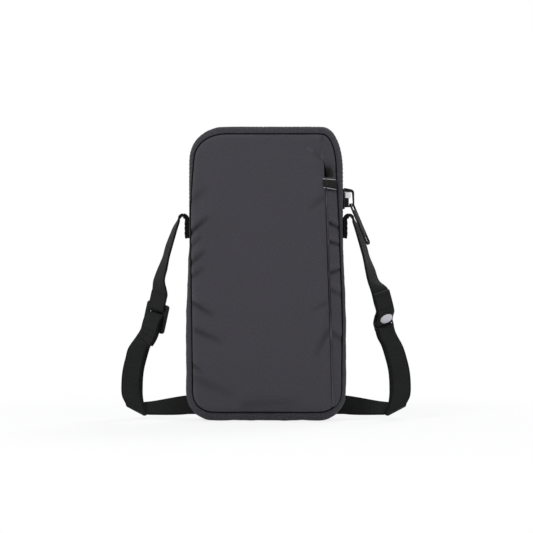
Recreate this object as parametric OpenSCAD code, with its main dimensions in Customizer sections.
// Phone pouch with a zip-round mouth, a front pocket and an adjustable webbing strap.
// Frame: +Z up, the front faces -Y, the origin is on the ground under the middle of the base.

/* [Pouch body] */
// Height from the base to the top of the zip band
pouch_h = 200; // [185:1:215]
// Width across the lower half
base_w = 109; // [104:0.5:114]
// Width across the upper half, where the zip runs
top_w = 104.6; // [100:0.2:108]
// Depth of the side band between its front and back seams
band_d = 24; // [23:0.5:28]
// Wall of the side band: fabric, foam and lining sewn as one
band_t = 1.5; // [1.2:0.1:1.8]
// How far a padded panel stands out past its seam
panel_crown = 2.6; // [2:0.1:3.4]
// Width of the soft rounding along the edge of a panel
panel_soft_w = 9; // [7:0.5:11]
// Thickness of the outer fabric panels
panel_t = 1; // [0.8:0.1:1.2]
// Radius of the two bottom corners
base_r = 20; // [17:0.5:22]
// Width and height of the top left corner's curve
left_corner = [26, 24]; // [20:1:32]
// Width and height of the top right corner's curve, which sags more steeply
right_corner = [15, 31]; // [13:1:33]
// How far the panel seams lie inside the outline: left, right, top and base
seam_in = [4.7, 3.4, 5.2, 8]; // [3:0.1:9]

/* [Mouth and main zip] */
// How far below the top the fold line lies that the upper front opens about
mouth_drop = 34; // [32:1:40]
// How far below the top the two lower ends of the main zip lie
zip_end_drop = 57.5; // [54:0.5:58]
// Half width of the zip, from its middle to the outer edge of one tape
tape_w = 3.4; // [3:0.1:4]
// Thickness of a zip tape
tape_t = 0.8; // [0.6:0.05:1]
// Half of the slit between the two tapes
slit_half = 0.6; // [0.5:0.05:0.8]
// Width and height of one coil
coil = [1.5, 1.1]; // [1:0.1:2]
// Height of the main slider's lower end above the end of the zip
slider_rise = 1.5; // [1:0.5:4]
// Length of the main slider
slider_len = 11; // [9:0.5:12]
// Length of the main pull from its pivot to its tip
pull_len = 32; // [24:1:34]
// Width and thickness of the main pull
pull_section = [4.6, 1.5]; // [1.2:0.1:5]
// How far the main pull leans out from upright, and turns towards the front
pull_lean = [24, 30]; // [18:1:34]

/* [Front pocket] */
// Places of the placket's edge at the top and at the base
placket_x = [38, 44.5]; // [34:0.5:46]
// Height of the pocket's floor
pocket_floor = 17; // [15:1:24]
// Depth of the pocket behind the front panel
pocket_d = 4.5; // [4.4:0.1:5]
// How deep the side strip lies below the front panel
strip_sink = 1.1; // [0.9:0.1:1.4]
// How far below the top the pocket slider's lower end rests
pocket_slider_drop = 43.5; // [42:0.5:55]
// Width, height and thickness of the pocket pull
pocket_pull = [7.4, 6.6, 1.1]; // [1:0.1:9]

/* [Strap] */
// Width of the webbing
web_w = 13; // [12:0.5:14]
// Thickness of the webbing
web_t = 1.5; // [1.3:0.1:1.7]
// How far below the top both straps leave their tabs
anchor_drop = 60; // [59.5:0.5:62]
// Length of the webbing tab sewn down the side band
tab_len = 16; // [14:0.5:18]
// How far out the long strap hangs on each side
strap_spread = 91; // [86:0.5:96]
// Height of the middle of the run behind the pouch
run_z = 12; // [11:0.5:14]
// Place of the snap link, seen from the front: out from the middle and up
snap_at = [80.2, 67.3]; // [64:0.1:82]
// Place of the adjuster, seen from the front: out from the middle and up
adjuster_at = [75.8, 70]; // [66:0.1:80]
// Diameter of the snap cap
cap_d = 11; // [9:0.5:11.5]
// Height, bar height and thickness of the adjuster
adjuster = [20, 2.4, 2]; // [1.8:0.1:22]
// Length of the snap flap's leaning part and of its upright part
flap_len = [10.8, 14.4]; // [9:0.2:17]
// Lean of the snap, in degrees from upright
snap_lean = 44; // [30:1:46]
// Diameter of the link ring's wire, and the distance between its two long bars
ring_wire = [1.8, 5.6]; // [1.6:0.1:7]

/* [Hidden] */

// Clearances: between sewn pieces, between moving pieces, round a pin, and between other faces
seam_gap = 0.3;
move_gap = 0.3;
pin_gap = 0.06;
thin_gap = 0.1;
// One overrun for every cut, and the size of the boxes that cut the pouch in two
over = 5;
far = 400;

fabric = [0.25, 0.24, 0.27];
band_fabric = [0.2, 0.2, 0.21];
zip_fabric = [0.12, 0.12, 0.13];
webbing = [0.12, 0.13, 0.12];
hardware = [0.05, 0.05, 0.055];
bright = [0.75, 0.75, 0.76];
foam = [0.5, 0.5, 0.52];
lining = [0.35, 0.35, 0.38];

half_d = band_d / 2;
// Heights that are measured down from the top
mouth_z = pouch_h - mouth_drop;
zip_end_z = pouch_h - zip_end_drop;
pocket_slider_z = pouch_h - pocket_slider_drop;
anchor_z = pouch_h - anchor_drop;
// Thickness of the lining sheets, and of the foam in front of and behind the phone
sheet_t = 0.5;
divider_t = 1.6;
back_padding = 3.4;
// Width and thickness of the tape that binds a seam
binding = [1.4, 1];
// Width of the groove that the pocket slider runs in
groove_w = 3.4;

// Heights of the two ends of the taper between the wide base and the narrow top, below the tabs
taper_share = 0.35;
taper_gap = 2;
taper_z = [pouch_h * taper_share, anchor_z - tab_len - taper_gap];
quarter_turn = 90;
// Roundness of the corners, below 1 for a squarer curve, and their steps
corner_share = 0.91;
corner_steps = 7;

// Outline of the pouch, drawn in by l, r, t and b on its four sides
function bent(v) = sign(v) * pow(abs(v), corner_share);
function corner(cx, cz, a, b, from) = [
    for (k = [0:corner_steps])
        let (turn = from + quarter_turn * k / corner_steps)
            [cx + a * bent(cos(turn)), cz + b * bent(sin(turn))]
];
function right_side(r) = [
    [base_w / 2 - r, taper_z[0]],
    [top_w / 2 - r, taper_z[1]],
    [top_w / 2 - r, zip_end_z],
    [top_w / 2 - r, mouth_z]
];
function reversed(list) = [for (k = [len(list) - 1:-1:0]) list[k]];
function outline(l, r, t, b) = concat(
    corner(base_w / 2 - base_r, base_r, base_r - r, base_r - b, -90),
    right_side(r),
    corner(top_w / 2 - right_corner.x, pouch_h - right_corner.y, right_corner.x - r, right_corner.y - t, 0),
    corner(left_corner.x - top_w / 2, pouch_h - left_corner.y, left_corner.x - l, left_corner.y - t, 90),
    [for (p = reversed(right_side(l))) [-p.x, p.y]],
    corner(base_r - base_w / 2, base_r, base_r - l, base_r - b, 180)
);
// The outline at a share of the way in to the seam, and then a further inset
function inset_outline(share, inset) = outline(
    share * seam_in[0] + inset, share * seam_in[1] + inset,
    share * seam_in[2] + inset, share * seam_in[3] + inset
);
function ring(share, inset, y) = [for (p = inset_outline(share, inset)) [p.x, y, p.y]];

// Numbers of the outline's points at the ends of the zip and of the mouth
right_end_i = corner_steps + 3;
right_mouth_i = corner_steps + 4;
left_mouth_i = 3 * corner_steps + 7;
left_end_i = 3 * corner_steps + 8;
outline_n = len(inset_outline(0, 0));
upper_n = left_end_i - right_end_i + 1;
mouth_n = left_mouth_i - right_mouth_i + 1;
lower_n = outline_n - upper_n + 2;

// Faces that join ring a to ring b, where the rings lie one after the other in a list of points
function walls(a, b, n) = [
    for (i = [0:n - 1])
        let (j = (i + 1) % n)
            each [[a * n + i, b * n + j, b * n + i], [a * n + i, a * n + j, b * n + j]]
];
// A closed form of stacked rings with flat ends
module stack(rings) {
    n = len(rings[0]);
    last = len(rings) - 1;
    polyhedron(
        points = [for (r = rings) each r],
        faces = concat(
            [[for (i = [n - 1:-1:0]) i]],
            [for (k = [0:last - 1]) each walls(k, k + 1, n)],
            [[for (i = [0:n - 1]) last * n + i]]
        ),
        convexity = 6
    );
}
// A band whose section is a loop of [share, inset, y], run along count points of the outline
module band(section, first, count) {
    loops = [for (s = section) ring(s[0], s[1], s[2])];
    stack([for (k = [0:count - 1]) [for (s = loops) s[(first + k) % outline_n]]]);
}
module to_front() {
    mirror([0, 1, 0]) children();
}
module below_mouth() intersection() {
    children();
    translate([-far / 2, -far / 2, mouth_z - seam_gap - far]) cube(far);
}
module above_mouth() intersection() {
    children();
    translate([-far / 2, -far / 2, mouth_z]) cube(far);
}

// Back half of the side band's section, from the seam to the flat middle: share of the seam's inset,
// share of the half depth, and how far the inner face lies in and forward as shares of the wall
band_shares = [[1, 1, 0.12, 1], [0.5, 0.95, 0.8, 0.8], [0.12, 0.82, 1, 0.45], [0, 0.66, 1, 0]];
band_outer = [for (s = band_shares) [s[0], 0, s[1] * half_d]];
band_inner = [for (s = band_shares) [s[0], s[2] * band_t, s[1] * half_d - s[3] * band_t]];
function flipped(section) = [for (s = section) [s[0], s[1], -s[2]]];
full_section = concat(
    band_outer, reversed(flipped(band_outer)), flipped(band_inner), reversed(band_inner)
);
strip_edge = tape_w + thin_gap;
half_section = concat(band_outer, [[0, 0, strip_edge], [0, band_t, strip_edge]], reversed(band_inner));

// Side band, and the strips beside the zip
module gusset_lower() color(band_fabric) band(full_section, left_end_i, lower_n);
module gusset_back_upper() color(band_fabric) band(half_section, right_end_i, upper_n);
module gusset_front_sides() color(band_fabric) to_front() side_pieces(half_section);
module mouth_gusset() color(band_fabric) to_front() band(half_section, right_mouth_i, mouth_n);
// The straight stretch of the same section on both sides, from the end of the zip up to the mouth
function side_section(section, seam) = [for (s = section) [top_w / 2 - s[0] * seam - s[1], s[2]]];
module side_pieces(section) {
    translate([0, 0, zip_end_z])
        linear_extrude(mouth_z - seam_gap - zip_end_z) {
            polygon(side_section(section, seam_in[1]));
            mirror([1, 0]) polygon(side_section(section, seam_in[0]));
        }
}

// Main zip: tapes with their coils on the inside, drop below the band's surface
tape_drop = 0.4;
tape_in = tape_drop + tape_t;
coil_in = tape_in + coil.y;
coil_edge = slit_half + coil.x;
tape_section = [
    [0, tape_drop, tape_w], [0, tape_drop, slit_half], [0, coil_in, slit_half],
    [0, coil_in, coil_edge], [0, tape_in, coil_edge], [0, tape_in, tape_w]
];
module zip_tape_back() color(zip_fabric) band(tape_section, right_end_i, upper_n);
module zip_tape_front_sides() color(zip_fabric) to_front() side_pieces(tape_section);
module mouth_zip_tape() color(zip_fabric) to_front() band(tape_section, right_mouth_i, mouth_n);

// Depths of the layers, in from the front and in from the back
panel_y = half_d + panel_crown;
inner_y = panel_y - panel_t;
pocket_y = inner_y - pocket_d;
divider_y = pocket_y - sheet_t;
front_lining_y = divider_y - divider_t;
bay_front_y = front_lining_y - sheet_t;
back_lining_y = half_d - back_padding;
// Lining sheets follow the inside of the band
sheet_share = 0.12;
sheet_inset = band_t + seam_gap;

// Edge of a panel: share of the soft width and share of the crown
crown_shares = [[0, 0], [0.1, 0.5], [0.35, 0.84], [1, 1]];
function panel_face(drop) = [
    for (s = crown_shares)
        ring(1, seam_gap + s[0] * panel_soft_w + drop * (1 - s[0]), half_d + s[1] * panel_crown - drop)
];
// A padded panel's outer skin, and the foam that fills it down to the depth y
module skin() {
    difference() {
        stack(concat([ring(1, seam_gap, half_d - panel_t)], panel_face(0)));
        stack(concat([ring(1, seam_gap + panel_t, half_d - panel_t - over)], panel_face(panel_t)));
    }
}
module filling(y) {
    drop = panel_t + thin_gap;
    stack(concat([ring(1, seam_gap + drop, y)], panel_face(drop)));
}
module flat_sheet(y, t) {
    translate([0, y + t, 0])
        rotate([90, 0, 0])
            linear_extrude(t)
                polygon(inset_outline(sheet_share, sheet_inset));
}
// Tape that binds the raw edges of a seam, with its back at the depth y
module seam_binding(y) {
    translate([0, y, 0])
        rotate([90, 0, 0])
            linear_extrude(binding.x)
                difference() {
                    polygon(inset_outline(sheet_share, sheet_inset));
                    polygon(inset_outline(sheet_share, sheet_inset + binding.y));
                }
}

// Back of the pouch, outside in
module back_panel() color(fabric) skin();
module back_foam() color(foam) filling(back_lining_y + sheet_t);
module back_lining() color(lining) flat_sheet(back_lining_y, sheet_t);
module back_seam_binding() color(band_fabric) seam_binding(back_lining_y - thin_gap);

// The placket's edge, and the frame that runs up it
function placket_at(z) = placket_x[1] + (placket_x[0] - placket_x[1]) * z / pouch_h;
placket_lean = atan2(placket_x[1] - placket_x[0], pouch_h);
module left_of_placket(shift) {
    rotate([90, 0, 0])
        linear_extrude(far, center = true)
            polygon([
                [-far, -over], [placket_at(-over) + shift, -over],
                [placket_at(pouch_h + over) + shift, pouch_h + over], [-far, pouch_h + over]
            ]);
}
module along_placket(z) {
    translate([placket_x[1], 0, 0])
        rotate([0, -placket_lean, 0])
            translate([0, 0, z]) children();
}

// Lower front: the outer panel up to the placket, and the side strip sunk behind its edge
module front_panel() color(fabric) below_mouth() intersection() {
    to_front() skin();
    left_of_placket(0);
}
module sunk_skin() {
    difference() {
        translate([0, strip_sink, 0]) to_front() skin();
        left_of_placket(groove_w);
    }
}
module side_strip() color(fabric) below_mouth() sunk_skin();

// Pocket zip: a tape behind the groove, with its coil in the groove's middle
pocket_tape_x = [-4, 3.7];
pocket_tape_back = 1.5;
pocket_coil = [1.6, 1.4];
pocket_tape_y = inner_y - strip_sink - pocket_tape_back;
groove_mid = groove_w / 2;
pocket_top_z = mouth_z - 2 * seam_gap;
pocket_zip_h = pocket_top_z - pocket_floor;
module pocket_zip() color(zip_fabric) along_placket(pocket_floor) {
    translate([pocket_tape_x[0], -pocket_tape_y, 0])
        cube([pocket_tape_x[1] - pocket_tape_x[0], sheet_t, pocket_zip_h]);
    translate([groove_mid - pocket_coil.x / 2, -pocket_tape_y - pocket_coil.y, 0])
        cube([pocket_coil.x, pocket_coil.y + thin_gap, pocket_zip_h]);
}
// The pocket's inner wall, with the shelf that closes the pocket at the top
shelf_t = 2;
shelf_left = top_w / 2 - seam_in[0] - seam_gap - panel_soft_w;
shelf_w = shelf_left + placket_at(mouth_z) + pocket_tape_x[0] - sheet_t;
module pocket_lining() color(lining) {
    below_mouth() to_front() flat_sheet(divider_y, sheet_t);
    translate([-shelf_left, thin_gap - inner_y, pocket_top_z - shelf_t])
        cube([shelf_w, pocket_d, shelf_t]);
}
module divider_foam() color(foam) below_mouth() to_front() flat_sheet(front_lining_y, divider_t);
module front_lining() color(lining) below_mouth() to_front() flat_sheet(bay_front_y, sheet_t);
module front_seam_binding() color(band_fabric) below_mouth() to_front()
    seam_binding(bay_front_y - thin_gap);

// Upper front, which opens with the zip
module mouth_panel() color(fabric) above_mouth() intersection() {
    to_front() skin();
    left_of_placket(0);
}
module mouth_side_strip() color(fabric) above_mouth() difference() {
    to_front() skin();
    left_of_placket(seam_gap);
}
module mouth_foam() color(foam) above_mouth() to_front() filling(front_lining_y);
module mouth_lining() color(lining) above_mouth() to_front() flat_sheet(bay_front_y, sheet_t);
module mouth_seam_binding() color(band_fabric) above_mouth() to_front()
    seam_binding(bay_front_y - thin_gap);

// A rectangle with rounded corners, centred
module rounded(w, h, r) {
    square([w, h - 2 * r], center = true);
    square([w - 2 * r, h], center = true);
    for (i = [-1, 1], j = [-1, 1])
        translate([i * (w / 2 - r), j * (h / 2 - r)]) circle(r, $fn = 48);
}

// Main slider on the right side: a plate outside the tapes, a plate inside them and a neck in the slit
slider_z = zip_end_z + slider_rise;
plate_t = 1.2;
plate_w = [5.6, 7.8];
plate_taper_share = 0.6;
under_t = 1.2;
under_w = 6;
neck_t = 0.7;
plate_x = top_w / 2 + move_gap;
under_x = top_w / 2 - coil_in - move_gap - under_t;
bridge_x = plate_x + plate_t;
// Bridge that holds the pull: how far it stands out, width across the zip, and height
bridge = [7, 1.8, 8.4];
bridge_wall = 1.1;
bridge_rise = 1.2;
bridge_r = 2;
// Place of the pull's pin inside the bridge: in from its outer wall, and up from its lower bar
pin_seat = [1.3, 1.35];
pin_at = [
    bridge_x + bridge.x - bridge_wall - pin_seat.x,
    slider_z + bridge_rise + bridge_wall + pin_seat.y
];
module main_slider() color(hardware) {
    translate([plate_x, 0, slider_z])
        rotate([90, 0, 90])
            linear_extrude(plate_t)
                polygon([
                    [-plate_w[0] / 2, 0], [plate_w[0] / 2, 0],
                    [plate_w[1] / 2, slider_len * plate_taper_share], [plate_w[1] / 2, slider_len],
                    [-plate_w[1] / 2, slider_len], [-plate_w[1] / 2, slider_len * plate_taper_share]
                ]);
    translate([under_x, -under_w / 2, slider_z]) cube([under_t, under_w, slider_len]);
    translate([under_x, -neck_t / 2, slider_z + slider_len / 2])
        cube([plate_x - under_x + plate_t / 2, neck_t, slider_len / 2]);
    translate([bridge_x, 0, slider_z + bridge_rise + bridge.z / 2])
        rotate([90, 0, 0])
            linear_extrude(bridge.y, center = true)
                intersection() {
                    difference() {
                        rounded(2 * bridge.x, bridge.z, bridge_r);
                        rounded(
                            2 * (bridge.x - bridge_wall), bridge.z - 2 * bridge_wall,
                            bridge_r - bridge_wall
                        );
                    }
                    translate([-plate_t / 2, -far / 2]) square(far);
                }
}

// Main pull, drawn hanging from its pin and then leaned out and turned
pin_r = 0.65;
fork_t = 0.55;
fork_len = 4.6;
slot = [1.6, 4];
slot_low_share = 0.82;
module main_pull() color(hardware)
    translate([pin_at.x, 0, pin_at.y])
        rotate([0, -pull_lean[0], 0])
            rotate([0, 0, -pull_lean[1]]) {
                rotate([90, 0, 0]) cylinder(h = pull_section.x, r = pin_r, center = true, $fn = 48);
                rotate([90, 0, 90])
                    linear_extrude(pull_section.y, center = true)
                        difference() {
                            union() {
                                translate([-pull_section.x / 2, pull_section.x / 2 - pull_len])
                                    square([pull_section.x, pull_len - pull_section.x / 2 + pin_r]);
                                translate([0, pull_section.x / 2 - pull_len])
                                    circle(pull_section.x / 2, $fn = 48);
                            }
                            translate([fork_t - pull_section.x / 2, -fork_len])
                                square([pull_section.x - 2 * fork_t, fork_len + over]);
                            translate([-slot.x / 2, -slot_low_share * pull_len]) square(slot);
                        }
            }

// Pocket slider: a channel over the coil, with an eye for its pull
pocket_slider_size = [2.9, 7];
pocket_plate_t = 0.9;
coil_side_gap = 0.25;
coil_top_y = pocket_tape_y + pocket_coil.y;
pocket_plate_y = coil_top_y + move_gap;
pocket_eye = [2.4, 1.8, 3.6];
pocket_pin_r = 0.45;
pocket_pin_y = pocket_plate_y + pocket_plate_t + pocket_eye.y / 2;
module pocket_slider() color(hardware) along_placket(pocket_slider_z) translate([groove_mid, 0, 0]) {
    difference() {
        translate([-pocket_slider_size.x / 2, -pocket_plate_y - pocket_plate_t, 0])
            cube([
                pocket_slider_size.x, pocket_plate_y + pocket_plate_t - pocket_tape_y - move_gap,
                pocket_slider_size.y
            ]);
        translate([-pocket_coil.x / 2 - coil_side_gap, -pocket_plate_y, -over])
            cube([pocket_coil.x + 2 * coil_side_gap, pocket_plate_y, pocket_slider_size.y + 2 * over]);
    }
    difference() {
        translate([
            -pocket_eye.x / 2, -pocket_pin_y - pocket_eye.y / 2,
            (pocket_slider_size.y - pocket_eye.z) / 2
        ])
            cube([pocket_eye.x, pocket_eye.y + thin_gap, pocket_eye.z]);
        translate([0, -pocket_pin_y, 0])
            cylinder(h = pocket_slider_size.y, r = pocket_pin_r + pin_gap, $fn = 48);
    }
}
// Pocket pull: a flat loop that lies over the side strip, hung on a pin through the eye
pull_rim = 1.2;
module pocket_pull() color(bright)
    along_placket(pocket_slider_z + pocket_slider_size.y / 2)
        translate([groove_mid, -pocket_pin_y, 0]) {
            cylinder(h = pocket_pull.y - pull_rim, r = pocket_pin_r, center = true, $fn = 48);
            rotate([90, 0, 0])
                linear_extrude(pocket_pull.z, center = true)
                    difference() {
                        translate([-pocket_pin_r, -pocket_pull.y / 2])
                            square([pocket_pull.x, pocket_pull.y]);
                        translate([-over, pull_rim - pocket_pull.y / 2])
                            square([
                                over + pocket_pull.x - pocket_pin_r - pull_rim,
                                pocket_pull.y - 2 * pull_rim
                            ]);
                    }
        }

// Webbing tab on each side: one layer rolls out into the strap's anchor, one is sewn over it
tab_arc = 3.15;
tab_x = top_w / 2 + thin_gap;
anchor_x = tab_x + web_t / 2 + tab_arc + move_gap;
module right_tab() color(webbing)
    rotate([90, 0, 0])
        linear_extrude(web_w, center = true) {
            translate([tab_x, anchor_z - tab_len]) square([2 * web_t, tab_len - tab_arc]);
            translate([anchor_x - move_gap, anchor_z - tab_arc])
                intersection() {
                    difference() {
                        circle(tab_arc + web_t / 2, $fn = 96);
                        circle(tab_arc - web_t / 2, $fn = 96);
                    }
                    translate([-far, 0]) square(far);
                }
        }
module left_tab() mirror([1, 0, 0]) right_tab();

// The strap's paths are drawn for the right side and mirrored for the left. A frame is
// [origin, turn, lean]: its x runs across the webbing, its y backwards and its z up the webbing.
function turned(f, v) =
    let (x = v.x * cos(f[2]) - v.z * sin(f[2]), z = v.x * sin(f[2]) + v.z * cos(f[2]))
        [x * cos(f[1]) - v.y * sin(f[1]), x * sin(f[1]) + v.y * cos(f[1]), z];
function placed(f, v) = f[0] + turned(f, v);
module in_frame(f) {
    translate(f[0]) rotate([0, 0, f[1]]) rotate([0, -f[2], 0]) children();
}
function unit(v) = v / norm(v);
function flipped_x(v) = [-v.x, v.y, v.z];

// Corner folds: the two layers wrap a crease that runs at 45 degrees, and the run crosses behind
layer_h = (web_t + seam_gap) / 2;
fold_in_r = web_t - thin_gap;
crease_y = panel_y + seam_gap + web_t / 2 - fold_in_r;
hang_y = crease_y - fold_in_r - layer_h;

// Places down the strap as shares of the drop, against shares of the spread and of a quarter turn
drop_end_z = 26;
spread_shares = [
    [0.035, 0.095], [0.07, 0.145], [0.123, 0.207], [0.184, 0.272], [0.254, 0.334], [0.325, 0.404],
    [0.395, 0.468], [0.719, 0.78], [0.789, 0.843], [0.86, 0.916], [0.93, 0.971], [1, 1]
];
twist_shares = [
    [0, 0], [0.07, 0], [0.184, 0.167], [0.254, 0.233], [0.325, 0.344], [0.395, 0.42], [0.45, 0.6],
    [0.64, 0.72], [0.719, 0.8], [0.789, 0.88], [0.86, 0.96], [0.93, 1], [1, 1]
];
// How far the two layers still part below the link and the adjuster, as a share of their gap lower down
parting_shares = [[0.75, 1.75], [0.82, 1.25], [0.9, 1]];
function drop_z(s) = anchor_z - s * (anchor_z - drop_end_z);
function drop_share(z) = (anchor_z - z) / (anchor_z - drop_end_z);
function drop_x(s) = anchor_x + lookup(s, spread_shares) * (strap_spread - anchor_x);
function across(s) = let (a = quarter_turn * lookup(s, twist_shares)) [sin(a), cos(a), 0] * web_w / 2;
function outward(s) = let (a = quarter_turn * lookup(s, twist_shares)) [cos(a), -sin(a), 0];

// Each stop on a path is a centre and half of the webbing's width as a vector
anchor_turns = [0, 20, 40, 60];
anchor_r = 3;
anchor_stops = [
    for (a = anchor_turns)
        [[anchor_x + anchor_r * sin(a), 0, anchor_z - anchor_r * (1 - cos(a))], across(0)]
];
upper_shares = [0.035, 0.07, 0.123, 0.184, 0.254, 0.325, 0.395];
function upper_stops(end_y, end_share) = concat(anchor_stops, [
    for (s = upper_shares) [[drop_x(s), end_y * s / end_share, drop_z(s)], across(s)]
]);
// Lower stops of one layer, side 1 in front and -1 behind the other layer
lower_shares = [0.789, 0.86, 0.93];
function hang_stop(s, side) = [
    [drop_x(s), hang_y * s, drop_z(s)] + outward(s) * side * layer_h * lookup(s, parting_shares),
    across(s)
];
crease_turns = [0, 30, 60, 90, 120, 150, 180];
function crease_stops(side) =
    let (r = fold_in_r + (1 + side) * layer_h, e = [1, 0, 1] * web_w / 2, p = [1, 0, -1] / sqrt(2))
        concat(
            [[[strap_spread, crease_y - r, run_z + web_w / 2 + web_t], across(1)]],
            [
                for (a = crease_turns)
                    [[strap_spread, crease_y - r * cos(a), run_z] + p * r * sin(a), e]
            ],
            [[[strap_spread - web_w / 2 - web_t, crease_y + r, run_z], [0, 0, 1] * web_w / 2]]
        );
function lower_stops(side) =
    concat([for (s = lower_shares) hang_stop(s, side)], crease_stops(side));
function mirrored(stops) = [
    for (s = reversed(stops))
        concat([flipped_x(s[0]), flipped_x(s[1])], len(s) > 2 ? [-flipped_x(s[2])] : [])
];

// Direction along the path at a stop, with the factor that keeps the webbing's thickness in a bend.
// A stop can give its own direction, as it does where two pieces of webbing meet.
function along(stops, i) =
    let (
        last = len(stops) - 1,
        a = unit(stops[max(i, 1)][0] - stops[max(i, 1) - 1][0]),
        b = unit(stops[min(i, last - 1) + 1][0] - stops[min(i, last - 1)][0]),
        t = unit(a + b)
    ) len(stops[i]) > 2 ? [stops[i][2], 1] : [t, 1 / (t * a)];
function facing(stop, direction) = [stop[0], stop[1], direction];
module ribbon(stops) {
    stack([
        for (i = [0:len(stops) - 1])
            let (
                t = along(stops, i), c = stops[i][0], e = stops[i][1],
                n = unit(cross(t[0], e)) * t[1] * web_t / 2
            ) [c - e - n, c - e + n, c + e + n, c + e - n]
    ]);
}

// Right link: a ring whose upper bar carries the snap and whose lower bar carries the two layers
wrap_r = ring_wire[0] / 2 + web_t / 2 + thin_gap;
link = [[snap_at.x, hang_y * drop_share(snap_at.y), snap_at.y], 25, 16];
fold_turns = [30, 60, 90, 120, 150];
function link_stop(y, z) = [placed(link, [0, y, z]), turned(link, [web_w / 2, 0, 0])];
low_bar = -ring_wire[1];
module link_ring() color(hardware) in_frame(link) {
    reach = web_w / 2 + 2 * thin_gap + ring_wire[0] / 2;
    for (z = [0, low_bar])
        translate([0, 0, z])
            rotate([0, 90, 0]) cylinder(h = 2 * reach, d = ring_wire[0], center = true, $fn = 48);
    for (i = [-1, 1]) translate([i * reach, 0, low_bar]) {
        cylinder(h = -low_bar, d = ring_wire[0], $fn = 48);
        sphere(d = ring_wire[0], $fn = 48);
        translate([0, 0, -low_bar]) sphere(d = ring_wire[0], $fn = 48);
    }
}

// Directions in the link's y and z: up along the leaning snap, and out of its back
lean_up = [-sin(snap_lean), cos(snap_lean)];
lean_back = [cos(snap_lean), sin(snap_lean)];
back_len = [11.5, 12];
back_low = lean_back * wrap_r;
back_mid = back_low + lean_up * back_len[0];
flap_low = -lean_back * wrap_r;
flap_mid = flap_low + lean_up * flap_len[0];
leaning = turned(link, [0, lean_up.x, lean_up.y]);
strap_right_end = link_stop(back_mid.x, back_mid.y + back_len[1]);
fold_start = facing(link_stop(back_low.x, back_low.y), -leaning);
fold_end = facing(link_stop(flap_low.x, flap_low.y), leaning);
module strap_right() color(webbing)
    ribbon(concat(
        upper_stops(strap_right_end[0].y, drop_share(strap_right_end[0].z)),
        [strap_right_end, link_stop(back_mid.x, back_mid.y), fold_start]
    ));
module snap_fold() color(webbing)
    ribbon(concat(
        [fold_start],
        [
            for (a = fold_turns)
                let (p = (lean_back * cos(a) - lean_up * sin(a)) * wrap_r) link_stop(p.x, p.y)
        ],
        [fold_end]
    ));
module snap_flap() color(webbing)
    ribbon([
        fold_end, link_stop(flap_mid.x, flap_mid.y), link_stop(flap_mid.x, flap_mid.y + flap_len[1])
    ]);

// Snap pieces, stacked along the axis that points out of the flap's front
snap_rise = 6;
cap_h = [0.6, 1.7];
socket_r = [3.8, 1.9];
stud_r = [3.8, 1.5];
stud_plate_t = 0.45;
back_cap_t = 0.8;
face_in = wrap_r - web_t / 2;
face_out = wrap_r + web_t / 2;
module at_snap() in_frame(link)
    translate([0, lean_up.x * snap_rise, lean_up.y * snap_rise])
        rotate([90 + snap_lean, 0, 0]) children();
module dome(r, rim, h) {
    rotate_extrude($fn = 96)
        polygon(concat(
            [[0, 0], [r, 0], [r, rim / 2], [r - rim / 2, rim]],
            [for (k = [4:-1:0]) [(r - rim) * sin(18 * k), rim + (h - rim) * cos(18 * k)]]
        ));
}
module snap_cap() color(bright) at_snap() translate([0, 0, face_out]) dome(cap_d / 2, cap_h[0], cap_h[1]);
module snap_socket() color(bright) at_snap()
    translate([0, 0, thin_gap])
        difference() {
            cylinder(h = face_in - thin_gap, r = socket_r[0], $fn = 64);
            translate([0, 0, -over]) cylinder(h = face_in + 2 * over, r = socket_r[1], $fn = 64);
        }
module snap_stud() color(bright) at_snap() {
    translate([0, 0, -face_in]) cylinder(h = stud_plate_t, r = stud_r[0], $fn = 64);
    translate([0, 0, -face_in]) cylinder(h = 2 * face_in - 2 * thin_gap, r = stud_r[1], $fn = 64);
}
module snap_back_cap() color(bright) at_snap()
    mirror([0, 0, 1]) translate([0, 0, face_out]) dome(stud_r[0], cap_h[0] / 2, back_cap_t);

// Left adjuster: a frame with three bars, woven by the strap and held by the loop
buckle = [[adjuster_at.x, hang_y * drop_share(adjuster_at.y), adjuster_at.y], 28, 14];
side_bar = 1.8;
bar_r = 0.8;
slot_side_gap = 0.5;
bar_z = (adjuster[0] - adjuster[1]) / 2;
buckle_w = web_w + 2 * (slot_side_gap + side_bar);
function buckle_stop(z, y) = [placed(buckle, [0, y, z]), turned(buckle, [web_w / 2, 0, 0])];
module adjuster_frame() color(hardware) mirror([1, 0, 0]) in_frame(buckle)
    rotate([90, 0, 0])
        linear_extrude(adjuster[2], center = true)
            difference() {
                rounded(buckle_w, adjuster[0], side_bar);
                for (i = [-1, 1])
                    translate([0, i * bar_z / 2])
                        rounded(buckle_w - 2 * side_bar, bar_z - adjuster[1], bar_r);
            }

// Distances of the webbing from the frame's middle plane: on its face, and one layer further out
face_d = adjuster[2] / 2 + web_t / 2 + pin_gap;
layer_d = web_t + thin_gap;
loop_front = -face_d - 2 * layer_d;
// Half length of the weave, and where it passes through the frame's two slots
weave_reach = 17;
weave_turn = [6, 3.2];
buckle_down = turned(buckle, [0, 0, -1]);
weave_top = facing(buckle_stop(weave_reach, -face_d), buckle_down);
weave_end = facing(buckle_stop(-weave_reach, -face_d), buckle_down);
loop_end = facing(buckle_stop(-weave_reach, loop_front), buckle_down);
module strap_left() color(webbing) mirror([1, 0, 0])
    ribbon(concat(upper_stops(weave_top[0].y, drop_share(weave_top[0].z)), [weave_top]));
module strap_weave() color(webbing) mirror([1, 0, 0])
    ribbon([
        weave_top, buckle_stop(weave_turn[0], -face_d),
        buckle_stop(weave_turn[1], face_d + layer_d), buckle_stop(-weave_turn[1], face_d + layer_d),
        buckle_stop(-weave_turn[0], -face_d), weave_end
    ]);
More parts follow.
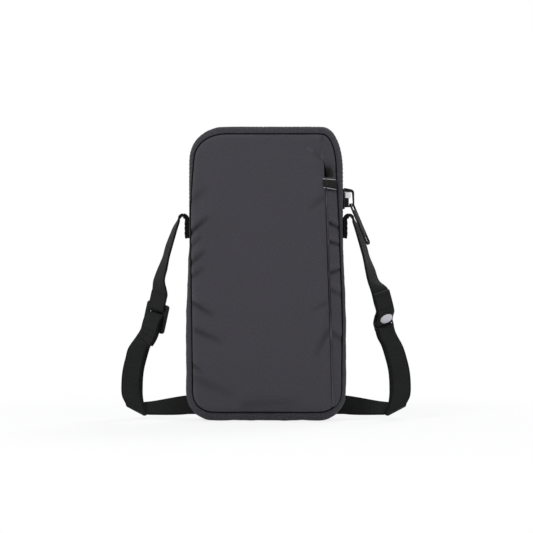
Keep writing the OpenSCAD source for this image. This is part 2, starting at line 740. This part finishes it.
// The loop: up the front, round the middle bar and back out under the front layer, where it is sewn.
// Its turns are [up, back] in units of the distances from the bar's faces to the webbing's middle.
wrap_d = web_t / 2 + thin_gap;
bar_half = adjuster[1] / 2;
bar_d = bar_half + wrap_d;
bar_back = adjuster[2] / 2;
corner_shares = [0.76, 0.7];
corner_d = [bar_half + corner_shares[0] * wrap_d, bar_back + corner_shares[1] * wrap_d];
enter_shares = [[-2.2, 1], [-0.78, 0.85], [0.34, 0.47]];
leave_shares = [[-1.22, 0.32], [-2, 0.66]];
tail_from = 6.2;
tail_to = 13;
module adjuster_loop() color(webbing) mirror([1, 0, 0])
    ribbon(concat(
        [facing(buckle_stop(seam_gap - weave_reach, loop_front), -buckle_down)],
        [for (p = enter_shares) buckle_stop(p[0] * bar_d, p[1] * loop_front)],
        [
            buckle_stop(corner_d.x, -corner_d.y), buckle_stop(bar_d, -bar_back),
            buckle_stop(bar_d, bar_back), buckle_stop(corner_d.x, corner_d.y),
            buckle_stop(bar_half, bar_back + wrap_d), buckle_stop(-bar_half, bar_back + wrap_d),
            buckle_stop(-corner_d.x, corner_d.y), buckle_stop(-bar_d, bar_back),
            buckle_stop(-bar_d, -bar_back / 2)
        ],
        [for (p = leave_shares) buckle_stop(p[0] * bar_d, p[1] * loop_front)],
        [buckle_stop(-tail_from, loop_front + layer_d), buckle_stop(-tail_to, loop_front + layer_d)]
    ));

// The two layers of the lower strap: from the link down, across behind the pouch and up to the adjuster
wrap_tail = 3.4;
link_up = turned(link, [0, 0, 1]);
layer_join = link_stop(wrap_r, low_bar);
module strap_back_layer() color(webbing)
    ribbon(concat(
        [facing(layer_join, -link_up), link_stop(wrap_r, low_bar - wrap_tail)],
        lower_stops(-1), mirrored(concat([weave_end], lower_stops(-1)))
    ));
module strap_front_layer() color(webbing)
    ribbon(concat(
        [facing(layer_join, link_up)],
        [for (a = fold_turns) link_stop(wrap_r * cos(a), low_bar + wrap_r * sin(a))],
        [link_stop(-wrap_r, low_bar), link_stop(-wrap_r, low_bar - wrap_tail)],
        lower_stops(1), mirrored(concat([loop_end], lower_stops(1)))
    ));

back_panel();
back_foam();
back_lining();
back_seam_binding();
front_panel();
side_strip();
pocket_zip();
pocket_lining();
divider_foam();
front_lining();
front_seam_binding();
gusset_lower();
gusset_back_upper();
gusset_front_sides();
zip_tape_back();
zip_tape_front_sides();
left_tab();
right_tab();
mouth_panel();
mouth_side_strip();
mouth_foam();
mouth_lining();
mouth_gusset();
mouth_zip_tape();
mouth_seam_binding();
main_slider();
main_pull();
pocket_slider();
pocket_pull();
strap_left();
strap_weave();
strap_back_layer();
strap_front_layer();
strap_right();
snap_fold();
link_ring();
snap_stud();
snap_back_cap();
adjuster_frame();
adjuster_loop();
snap_flap();
snap_cap();
snap_socket();
